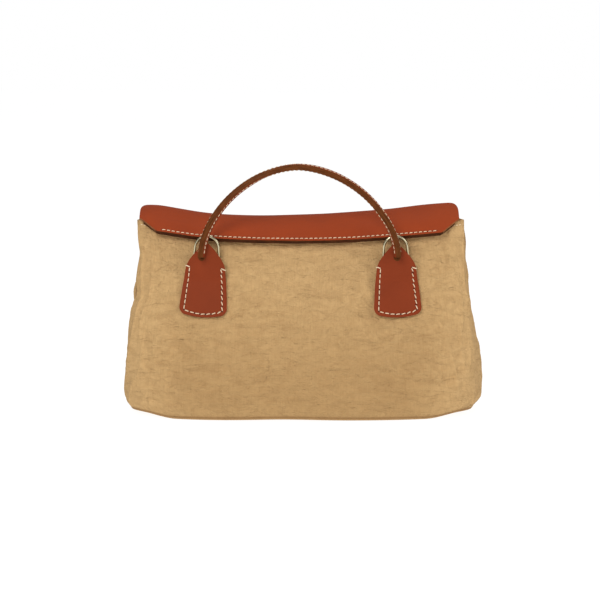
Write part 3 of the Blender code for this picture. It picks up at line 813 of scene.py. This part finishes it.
def flap_point(x, v):
    """Outer face of the flap and its back leaf: v from 0 at the leaf's lower edge to 1 at the front edge."""
    last = len(SECTION) - 1
    y = smooth_value([(i / last, p[0]) for i, p in enumerate(SECTION)], v)
    z = smooth_value([(i / last, p[1]) for i, p in enumerate(SECTION)], v)
    over = smoothstep(HINGE_AT, CREST_AT, v)
    forward = min(max((v - CREST_AT) / (1 - CREST_AT), 0), 1)
    crest = smooth_value(CREST_LINE, x / MM)
    front = smooth_value(FRONT_LINE, x / MM)
    return Vector((x, y * MM, (z + over * lerp(crest, front, forward)) * MM))


def flap_normal(x, v):
    step = 0.004
    across = flap_point(x + MM, v) - flap_point(x - MM, v)
    along = flap_point(x, min(v + step, 1)) - flap_point(x, max(v - step, 0))
    return along.cross(across).normalized()


def flap_edges(v):
    """Left and right edges of the flap at a share of its section."""
    if v <= CREST_AT:
        widen = smoothstep(HINGE_AT, CREST_AT, v)
        left = lerp(-BACK_HALF, FLAP_LEFT + CORNER_INSET, widen)
        return left, lerp(BACK_HALF, FLAP_RIGHT - CORNER_INSET, widen)
    run = (v - CREST_AT) / (1 - CREST_AT) * CREST_TO_FRONT
    lack = max(1 - run / CORNER_RUN, 0)
    inset = CORNER_INSET * (1 - sqrt(1 - lack**2))
    left = FLAP_LEFT + inset
    right = FLAP_RIGHT - inset
    if v > CHAMFER_AT:
        share = (v - CHAMFER_AT) / (1 - CHAMFER_AT)
        left = lerp(left, FRONT_LEFT, share)
        right = lerp(right, FRONT_RIGHT, share)
    return left, right


def make_flap():
    """One hide: a leaf sewn to the back, bent over the mouth into a saddle with chamfered front corners."""
    rows = even(0, CREST_AT, 34)
    corner = CORNER_RUN / CREST_TO_FRONT * (1 - CREST_AT)
    rows += [CREST_AT + 0.0006 + corner * (1 - cos(a)) for a in even(0, pi / 2, 14)]
    rows += even(rows[-1] + 0.008, CHAMFER_AT, 6) + even(CHAMFER_AT, 1, 13)[1:]
    columns = even(0, 1, 141)
    points, uvs = [], []
    arc = 0.0
    for r, v in enumerate(rows):
        if r:
            arc += (flap_point(0, v) - flap_point(0, rows[r - 1])).length
        left, right = flap_edges(v)
        for share in columns:
            x = lerp(left, right, share)
            p = flap_point(x, v)
            ripple = noise.noise(Vector((x / 0.05, arc / 0.03, 7))) * 0.35 * MM * smoothstep(0.35, 0.6, v)
            points.append(p + flap_normal(x, v) * ripple)
            uvs.append((x, arc))
    flap = add_mesh("flap_leather", points, grid_faces(len(rows), len(columns)), uvs)
    flap.data.flip_normals()
    wear(flap, FLAP_LEATHER, SUEDE, EDGE_PALE, EDGE_PAINTED_SHADE)
    cut_leather(flap, LEATHER_THICK, 0.5 * MM)
    # The flap's front edge faces take the darker edge copy, painted shade.
    front_y = SECTION[-1][0] * MM
    for face in flap.data.polygons:
        edge = face.center.y < front_y + 2.2 * MM and FRONT_LEFT - MM < face.center.x < FRONT_RIGHT + MM
        if edge and face.material_index == 2:
            face.material_index = 3
    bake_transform(flap)
    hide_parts("flap_panel", "flap_back_leaf")

    make_edge_strip()
    front_seam = flap_seam(STITCH_AT, FRONT_LEFT + 4.5 * MM, FRONT_RIGHT - 4.5 * MM)
    make_stitches("flap_stitching", [front_seam], "flap", **FLAP_STITCH)
    seams = [flap_seam(v, -BACK_HALF + 4 * MM, BACK_HALF - 4 * MM) for v in LEAF_SEAMS]
    make_stitches("back_leaf_stitching", seams, "bag", **FLAP_STITCH)


def flap_seam(v, left, right):
    """A line of stitching across the flap, just over its surface."""
    line = []
    for x in even(left, right, 160):
        normal = flap_normal(x, v)
        line.append((flap_point(x, v) + normal * 0.05 * MM, normal))
    return line


def make_edge_strip():
    """Second layer of leather under the front edge, burnished with it; it carries the hidden magnets."""
    rows = even(0.918, 0.9985, len(STRIP_SKIVE))
    columns = even(0, 1, 121)
    points, uvs = [], []
    for v in rows:
        left, right = flap_edges(v)
        for share in columns:
            x = lerp(left + 1.5 * MM, right - 1.5 * MM, share)
            points.append(flap_point(x, v) - flap_normal(x, v) * (LEATHER_THICK + 0.05 * MM))
            uvs.append((x, v * 0.1))
    strip = add_mesh("flap_edge_strip", points, grid_faces(len(rows), len(columns)), uvs)
    strip.data.flip_normals()
    skived = strip.vertex_groups.new(name="skived")
    for r, share in enumerate(STRIP_SKIVE):
        skived.add(list(range(r * len(columns), (r + 1) * len(columns))), share, "REPLACE")
    # The strip's cut edge takes the darker edge copy, painted shade.
    wear(strip, SUEDE, SUEDE, EDGE_PAINTED_SHADE)
    cut_leather(strip, STRIP_THICK, 0.45 * MM, vertex_group="skived")
    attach(strip, "flap")
    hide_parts("flap_lining")


# ---------------------------------------------------------------- paddles and D-rings
# Where each keyhole sits on its wall: place in mm, then lean back, tilt and turn in degrees
SETS = {
    "front_left": ((-98.8, -29.75, 165.3), (-17.55, 3.24, -1.52)),
    "front_right": ((98.8, -29.75, 165.3), (-17.53, -1.91, 1.09)),
    "back_left": ((-98.8, 29.75, 165.3), (-17.54, 2.86, 179.59)),
    "back_right": ((98.8, 29.75, 165.3), (-17.54, -2.86, -179.59)),
}
# How far each keyhole lies to the side of its paddle's middle line
KEYHOLE_SHIFTS = {
    "front_left": -4.4 * MM, "front_right": 1.2 * MM, "back_left": 2.5 * MM, "back_right": -2.5 * MM,
}
APEX = 11.5 * MM
SHOULDER = -13.1 * MM
FOOT = -60.0 * MM
FOOT_SAG = 4.0 * MM
SHOULDER_HALF = 20.5 * MM
FOOT_HALF = 25.2 * MM
FOOT_CORNER = 6.5 * MM
APEX_HALF = 2.0 * MM
PADDLE_THICK = 3.0 * MM
PADDLE_LIFT = 7.3 * MM
PADDLE_REST = 0.9 * MM
PADDLE_FLAT = -27 * MM
RING_BAR = -11.0 * MM
RING_BAR_OUT = 3.9 * MM
RING_LEAN = radians(21.5)
RING_WIRE = 1.4 * MM
KEYHOLE_DROP = 1.6 * MM
PADDLE_STITCH = {
    "pitch": 5.7 * MM, "length": 4.4 * MM, "radius": 0.47 * MM, "holes": 0.5 * MM, "slants": (0.02, 0.3),
}
WRAP_RADIUS = 0.6 * MM


def set_frame(name):
    """Placement of a paddle set: local -Y points out of the wall and local Z up along it."""
    place, angles = SETS[name]
    turn = Matrix.Rotation(radians(angles[2]), 4, "Z") @ Matrix.Rotation(radians(angles[1]), 4, "Y")
    turn = turn @ Matrix.Rotation(radians(angles[0]), 4, "X")
    return Matrix.Translation([c * MM for c in place]) @ turn


def paddle_half(height):
    if height > SHOULDER:
        share = (height - SHOULDER) / (APEX - SHOULDER)
        return APEX_HALF + (SHOULDER_HALF - APEX_HALF) * (1 - share**1.5)
    share = (SHOULDER - height) / (SHOULDER - FOOT)
    half = lerp(SHOULDER_HALF, FOOT_HALF, share) + 0.5 * MM * sin(pi * share)
    lack = FOOT_CORNER - (height - FOOT)
    if lack > 0:
        half -= FOOT_CORNER - sqrt(max(FOOT_CORNER**2 - lack**2, 0.0))
    return half


def paddle_out(height):
    """How far the paddle's back face stands off the wall."""
    flare = max(height - RING_BAR, 0.0) * tan(RING_LEAN)
    return PADDLE_REST + (PADDLE_LIFT - PADDLE_REST) * smoothstep(PADDLE_FLAT, RING_BAR, height) + flare


def paddle_point(x, height, proud=0.0):
    """Front face of a paddle in its own frame, proud millimetres in front of it."""
    half = max(paddle_half(height), 1e-6)
    u = min(abs(x) / half, 1.0)
    near_foot = max(0.0, 1 - (height - FOOT) / (30 * MM))
    sag = FOOT_SAG * (1 - (x / FOOT_HALF) ** 2) * near_foot**2
    edge = min(half - abs(x), height - FOOT + 0.3 * MM)
    crown = 0.55 * MM * (1 - u**4) - 0.35 * MM * bump_at(edge, 3.9 * MM, 1.1 * MM) * (height < SHOULDER)
    return Vector((x, -(paddle_out(height) + PADDLE_THICK + crown + proud), height - sag))


def stitch_path(count=90):
    """The stitched U of a paddle: points in its frame, from one shoulder round the foot to the other."""
    inset = 4.0 * MM
    top = SHOULDER + 0.4 * MM
    corner = 1.2 * MM
    foot_inset = inset + 0.9 * MM
    low = FOOT + inset
    side = []
    for height in even(top, low + corner, count // 2):
        share = (SHOULDER - height) / (SHOULDER - FOOT)
        side.append((-lerp(SHOULDER_HALF - inset, FOOT_HALF - foot_inset, share), height))
    x0, z0 = side[-1]
    turn = [(x0 + corner * (1 - cos(a)), z0 - corner * sin(a)) for a in even(0, pi / 2, 8)[1:]]
    half = side + turn
    reach = turn[-1][0]
    bottom = [(x, low - 1.4 * MM * (1 - (x / reach) ** 2)) for x in even(reach, -reach, 20)[1:-1]]
    return half + bottom + [(-x, z) for x, z in reversed(half)]


def make_paddle(name):
    frame_here = set_frame(name)
    heights = [FOOT + FOOT_CORNER * (1 - cos(a)) for a in even(0.12, pi / 2, 9)]
    heights += even(FOOT + FOOT_CORNER + 1.5 * MM, SHOULDER, 34) + even(SHOULDER + 0.8 * MM, APEX, 20)
    columns = [sin(a) for a in even(-pi / 2, pi / 2, 37)]
    rows = []
    for height in heights:
        half = paddle_half(height)
        rows.append([paddle_point(u * half, height) for u in columns])
    points = [frame_here @ p for row in rows for p in row]
    uvs = [(p.x, p.z) for row in rows for p in row]
    paddle = add_mesh(name + "_paddle_leather", points, grid_faces(len(rows), len(columns)), uvs)
    wear(paddle, LEATHER, SUEDE, EDGE_PALE)
    cut_leather(paddle, PADDLE_THICK, 0.6 * MM, segments=3)
    shade_rim(paddle)
    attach(paddle, "bag")
    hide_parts(name + "_paddle")

    line = []
    step = 0.5 * MM
    for x, z in stitch_path():
        across = paddle_point(x + step, z) - paddle_point(x - step, z)
        up = paddle_point(x, z + step) - paddle_point(x, z - step)
        normal = across.cross(up).normalized()
        if normal.y > 0:
            normal = -normal
        line.append((frame_here @ paddle_point(x, z), (frame_here.to_3x3() @ normal).normalized()))
    make_stitches(name + "_paddle_stitching", [line], "bag", **PADDLE_STITCH)
    wraps = []
    for sign in (-1, 1):
        x, z = stitch_path()[0]
        start = paddle_point(sign * abs(x), z, 0.35 * MM)
        outer_z = z - sign * 1.2 * MM
        edge_x = paddle_half(outer_z) * sign
        face = paddle_point(edge_x - sign * 0.6 * MM, outer_z, 0.4 * MM)
        side = Vector((edge_x + sign * 0.35 * MM, face.y + 1.5 * MM, face.z))
        under = Vector((edge_x + sign * 0.1 * MM, face.y + 3.4 * MM, face.z))
        wraps.append([frame_here @ p for p in (start, start.lerp(face, 0.5), face, side, under)])
    add_threads(name + "_edge_stitches", wraps)
    make_keyhole(name, frame_here)
    make_ring(name, frame_here)


def shade_rim(obj):
    """Marks how close each point is to a cut edge, for the leather's redder, paler rim."""
    attribute = obj.data.attributes.new("rim", "FLOAT", "POINT")
    edge_points = set()
    for face in obj.data.polygons:
        if face.material_index >= 2:
            edge_points.update(face.vertices)
    values = [0.6 if i in edge_points else 0.0 for i in range(len(obj.data.vertices))]
    attribute.data.foreach_set("value", values)


def add_threads(name, paths):
    """Thick round threads through smooth paths, as one piece."""
    sides, steps, radius = 10, 6, WRAP_RADIUS
    points, faces, uvs = [], [], []
    for path in paths:
        marks = [i / (len(path) - 1) for i in range(len(path))]
        line = []
        for t in even(0, 1, (len(path) - 1) * steps + 1):
            line.append(Vector([smooth_value([(m, p[k]) for m, p in zip(marks, path)], t) for k in range(3)]))
        first = len(points)
        for i, p in enumerate(line):
            along = (line[min(i + 1, len(line) - 1)] - line[max(i - 1, 0)]).normalized()
            side = along.cross(Vector((0.13, 0.31, 0.94))).normalized()
            up = side.cross(along)
            for angle in around(sides):
                points.append(p + (side * cos(angle) + up * sin(angle)) * radius)
                uvs.append((i * 0.4 * MM, angle * radius))
        for face in grid_faces(len(line), sides, closed=True):
            faces.append(tuple(first + k for k in face))
        faces.append(tuple(first + k for k in reversed(range(sides))))
        faces.append(tuple(first + (len(line) - 1) * sides + k for k in range(sides)))
    threads = add_mesh(name, points, faces, uvs)
    wear(threads, THREAD)
    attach(threads, "bag")


def ring_path():
    """Smooth closed centre line of a D-ring in its own plane, the straight bar through the origin."""
    foot, corner, crown, height = 13.4 * MM, 2.6 * MM, 12.2 * MM, 33.0 * MM
    top = height - crown
    right = [(x, 0.0) for x in even(0, foot - corner, 8)]
    right += [(foot - corner + corner * cos(a), corner + corner * sin(a)) for a in even(-pi / 2, 0, 8)[1:]]
    right += [(lerp(foot, crown, t), lerp(corner, top, t)) for t in even(0, 1, 10)[1:-1]]
    right += [(crown * cos(a), top + crown * sin(a)) for a in even(0, pi / 2, 22)]
    return right + [(-x, y) for x, y in reversed(right[1:-1])]


def make_ring(name, frame_here):
    place = frame_here @ Matrix.Translation((0, -RING_BAR_OUT, RING_BAR))
    place = place @ Matrix.Rotation(pi / 2 + RING_LEAN, 4, "X")
    path = ring_path()
    count, sides = len(path), 20
    points = []
    for i, (x, y) in enumerate(path):
        ahead = Vector(path[(i + 1) % count]) - Vector(path[i - 1])
        outward = Vector((ahead.y, -ahead.x)).normalized()
        for angle in around(sides):
            here = Vector((x, y)) + outward * RING_WIRE * cos(angle)
            points.append(place @ Vector((*here, RING_WIRE * sin(angle))))
    ring = add_mesh(name + "_d_ring", points, closed_tube_faces(count, sides))
    ring.data.flip_normals()
    wear(ring, RING_METAL)
    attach(ring, name + "_ring_body")
    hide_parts(name + "_ring")


def make_keyhole(name, frame_here):
    """Burnished lip round the place where the handle's end enters the paddle, with a dark disc of painted
    shadow below it for the hole.
    """
    shift = KEYHOLE_SHIFTS[name]
    turns, sides = 32, 8
    points = []
    for a in around(turns):
        x, z = 3.1 * MM * cos(a), 3.3 * MM * sin(a) - KEYHOLE_DROP
        for b in around(sides):
            reach = 1 + 0.24 * cos(b)
            p = paddle_point(shift + x * reach, z * reach, 0.15 * MM + 0.75 * MM * sin(b))
            points.append(frame_here @ p)
    lip = add_mesh(name + "_keyhole_lip", points, closed_tube_faces(turns, sides))
    wear(lip, EDGE)
    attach(lip, "bag")
    outline = [(shift + 3.0 * MM * cos(a), 3.2 * MM * sin(a) - KEYHOLE_DROP) for a in around(turns)]
    rings = []
    for proud in (0.06 * MM, -0.4 * MM):
        rings.append([frame_here @ paddle_point(x, z, proud) for x, z in outline])
    plug_points, plug_faces = [], []
    add_plug(*rings, plug_points, plug_faces)
    dark = add_mesh(name + "_keyhole_painted_shadow", plug_points, plug_faces, smooth=False)
    wear(dark, PAINTED_HOLE_SHADE)
    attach(dark, "bag")


# ---------------------------------------------------------------- handles
HALF_SPAN = 101.6 * MM
ARCH_HEIGHT = 93.8 * MM
ARCH_POWER = 1.8
ARCH_SHIFT = -1.6 * MM
HANDLE_OUT = 50.4 * MM
PIVOT_Z = 168.7 * MM
BACK_HANG = radians(168)
STRAP_WIDE = 9.5 * MM
STRAP_THICK = 6.2 * MM
ARCH_SKEW = -1.3 * MM
HANDLE_STITCH = {"pitch": 4.6 * MM, "length": 3.5 * MM, "radius": 0.42 * MM}


def handle_line(count=181):
    """Centre line of the arch in X and Z from the pivot line, evenly sampled in angle."""
    points = []
    for angle in even(0, pi, count):
        c, s = cos(angle), sin(angle)
        x = -HALF_SPAN * abs(c) ** (2 / ARCH_POWER) * (1 if c >= 0 else -1)
        points.append(Vector((x + ARCH_SKEW * s**6, 0, ARCH_HEIGHT * abs(s) ** (2 / ARCH_POWER))))
    return points


def strap_section():
    """Outline of the doubled strap: radial place, place front to back, and whether it is a burnished edge."""
    half_t, half_w = STRAP_THICK / 2, STRAP_WIDE / 2
    outline = []
    for sign in (-1, 1):
        for x in even(sign, -sign, 9):
            crown = 0.5 * MM * (1 - x**4) - 0.28 * MM * bump_at(x, 0, 0.14)
            outline.append((x * (half_t - 0.25 * MM), sign * (half_w + crown - 0.4 * MM), True))
        for y in even(sign, -sign, 9):
            outline.append((-sign * (half_t - 0.12 * MM * y * y), y * (half_w - 0.7 * MM), False))
    return outline


def strap_twist(share):
    """Turn of the strap about its line: its inner face shows low on the left, its outer one on the right."""
    left = radians(-17) * smoothstep(0.48, 0.30, share)
    right = radians(7) * smoothstep(0.48, 0.60, share) * smoothstep(0.90, 0.78, share)
    low_right = radians(-15) * smoothstep(0.80, 0.92, share)
    return left + right + low_right


def strap_axes(line, i):
    along = (line[min(i + 1, len(line) - 1)] - line[max(i - 1, 0)]).normalized()
    outward = Vector((-along.z, 0, along.x))
    turn = Matrix.Rotation(strap_twist(i / (len(line) - 1)), 3, along)
    return along, turn @ outward, turn @ Vector((0, 1, 0))


def make_handle(side):
    """Doubled strap standing on edge, burnished front and back, stitched through both faces."""
    out = -HANDLE_OUT if side == "front" else HANDLE_OUT
    place = Matrix.Translation((ARCH_SHIFT if side == "front" else 0, out, PIVOT_Z))
    if side == "back":
        place = place @ Matrix.Rotation(-BACK_HANG, 4, "X")
    line = handle_line()
    section = strap_section()
    points, uvs = [], []
    run = 0.0
    for i, p in enumerate(line):
        if i:
            run += (p - line[i - 1]).length
        _, outward, deep = strap_axes(line, i)
        run_round = 0.0
        for k, (a, b, _) in enumerate(section):
            if k:
                run_round += hypot(a - section[k - 1][0], b - section[k - 1][1])
            points.append(place @ (p + outward * a + deep * b))
            uvs.append((run, run_round))
    count = len(section)
    faces = grid_faces(len(line), count, closed=True)
    faces.append(tuple(range(count)))
    faces.append(tuple(reversed(range((len(line) - 1) * count, len(line) * count))))
    strap = add_mesh(side + "_handle_strap", points, faces, uvs)
    wear(strap, LEATHER, EDGE)
    for face in strap.data.polygons:
        k = face.index % count
        burnished = section[k][2] and section[(k + 1) % count][2]
        face.material_index = 1 if burnished or face.index >= (len(line) - 1) * count else 0
    body = side + "_handle"
    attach(strap, body)
    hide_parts(side + "_handle_outer_strip", side + "_handle_inner_strip")

    seams = []
    for face_side in (-1, 1):
        seam = []
        for i, p in enumerate(line):
            _, outward, deep = strap_axes(line, i)
            face = outward * face_side
            here = p + face * (STRAP_THICK / 2 - 0.05 * MM) + deep * (-STRAP_WIDE / 2 + 2.7 * MM)
            seam.append((place @ here, place.to_3x3() @ face))
        seams.append(seam[3:-3])
    make_stitches(side + "_handle_stitching", seams, body, **HANDLE_STITCH)


# ---------------------------------------------------------------- the room
CAMERA_ELEVATION = radians(9.0)
CAMERA_DISTANCE = 2.2
LOOK_AT = Vector((-0.0011, 0, 0.1155))
SENSOR = 36
VIEW_WIDTH = 0.640
FLOOR_HALF = 6.0
FLOOR_GAP = 0.0006


def make_camera():
    camera = bpy.data.objects.new("camera", bpy.data.cameras.new("camera"))
    camera.data.sensor_width = SENSOR
    camera.data.lens = SENSOR * CAMERA_DISTANCE / VIEW_WIDTH
    camera.data.clip_start = 0.05
    offset = Vector((0, -cos(CAMERA_ELEVATION), sin(CAMERA_ELEVATION))) * CAMERA_DISTANCE
    camera.location = LOOK_AT + offset
    camera.rotation_euler = (pi / 2 - CAMERA_ELEVATION, 0, 0)
    bpy.context.scene.collection.objects.link(camera)
    bpy.context.scene.camera = camera


def area_light(name, place, target, size, power):
    data = bpy.data.lights.new(name, "AREA")
    data.shape = "RECTANGLE"
    data.size, data.size_y = size
    data.energy = power
    light = bpy.data.objects.new(name, data)
    light.location = place
    light.rotation_euler = (Vector(target) - Vector(place)).to_track_quat("-Z", "Y").to_euler()
    bpy.context.scene.collection.objects.link(light)


def make_room():
    corners = [(x * FLOOR_HALF, y * FLOOR_HALF, 0) for x, y in ((-1, -1), (1, -1), (1, 1), (-1, 1))]
    floor = add_mesh("floor", corners, [(0, 1, 2, 3)], smooth=False)
    floor.location.z = -FLOOR_GAP
    look = Look("floor", 0.9)
    tone = look.cloud(0.7, roughness=0.55)
    look.colour(look.mix(look.remap(tone), (0.16, 0.16, 0.16, 1), (0.18, 0.18, 0.18, 1)))
    look.shader.inputs["Emission Color"].default_value = (1, 1, 1, 1)
    look.shader.inputs["Emission Strength"].default_value = 0.93
    wear(floor, look.material)
    world = bpy.data.worlds.new("world")
    world.use_nodes = True
    tree = world.node_tree
    background = tree.nodes["Background"]
    background.inputs["Color"].default_value = (1, 1, 1, 1)
    seen = tree.nodes.new("ShaderNodeLightPath")
    strength = tree.nodes.new("ShaderNodeMapRange")
    strength.inputs["To Min"].default_value = 0.30
    strength.inputs["To Max"].default_value = 1.0
    tree.links.new(seen.outputs["Is Camera Ray"], strength.inputs["Value"])
    tree.links.new(strength.outputs["Result"], background.inputs["Strength"])
    bpy.context.scene.world = world
    area_light("key", (-0.45, -1.32, 0.98), (0, 0, 0.14), (0.7, 0.7), 12.0)
    area_light("fill", (1.6, -1.1, 0.9), (0, 0, 0.1), (1.0, 1.0), 9)
    area_light("top", (0.2, 0.3, 2.3), (0, 0.1, 0.1), (1.8, 1.6), 18)
    bpy.context.scene.view_settings.view_transform = "Standard"


def dress_cad_parts():
    """Finishes for the CAD parts that stay: the hidden chapes, strap tails, patches and magnets."""
    chosen = {side + "_magnet_" + hand: STEEL for side in ("flap", "hem") for hand in ("left", "right")}
    for name in SETS:
        chosen.update({name + "_chape": LEATHER, name + "_patch": LEATHER, name + "_strap_tail": EDGE})
    for node, finish in chosen.items():
        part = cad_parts[node]
        for slot in part.material_slots:
            slot.material = finish


def main():
    make_canvas()
    make_hems()
    make_flap()
    for name in SETS:
        make_paddle(name)
    for side in ("front", "back"):
        make_handle(side)
    dress_cad_parts()
    make_camera()
    make_room()


main()
